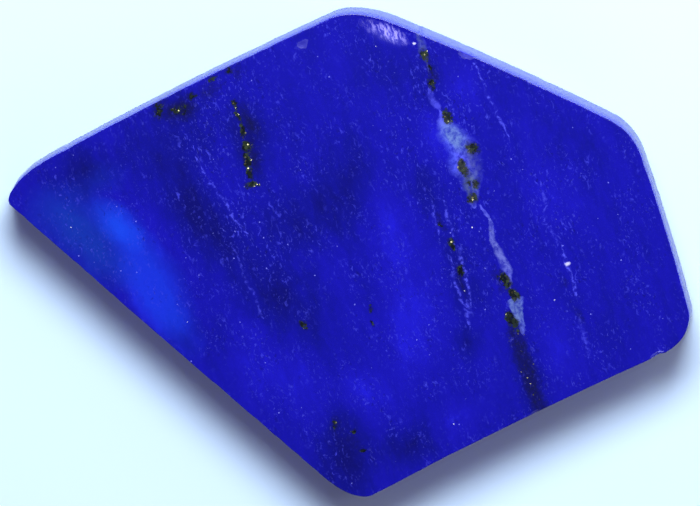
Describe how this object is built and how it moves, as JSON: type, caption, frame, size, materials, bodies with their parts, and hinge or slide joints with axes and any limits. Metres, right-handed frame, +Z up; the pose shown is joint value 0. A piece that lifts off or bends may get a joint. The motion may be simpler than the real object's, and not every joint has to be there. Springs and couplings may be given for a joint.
{
  "type": "polished lapis lazuli slab",
  "caption": "Flat free-form slab of deep blue lapis lazuli, five-sided with rounded corners, polished on its slightly domed top, with pale calcite and brassy pyrite veins.",
  "frame": {"origin": "middle of the outline's box, on the flat back that the stone lies on", "axes": "+Z up, out of the polished face; +X along the length, towards the blunt end, away from the long tip; +Y across the stone, towards its rear corner"},
  "size_m": [0.045, 0.032, 0.0056],
  "materials": {
    "polished_lapis": "polished"
  },
  "bodies": {
    "root": {"lapis_stone": "polished_lapis"}
  },
  "joints": []
}
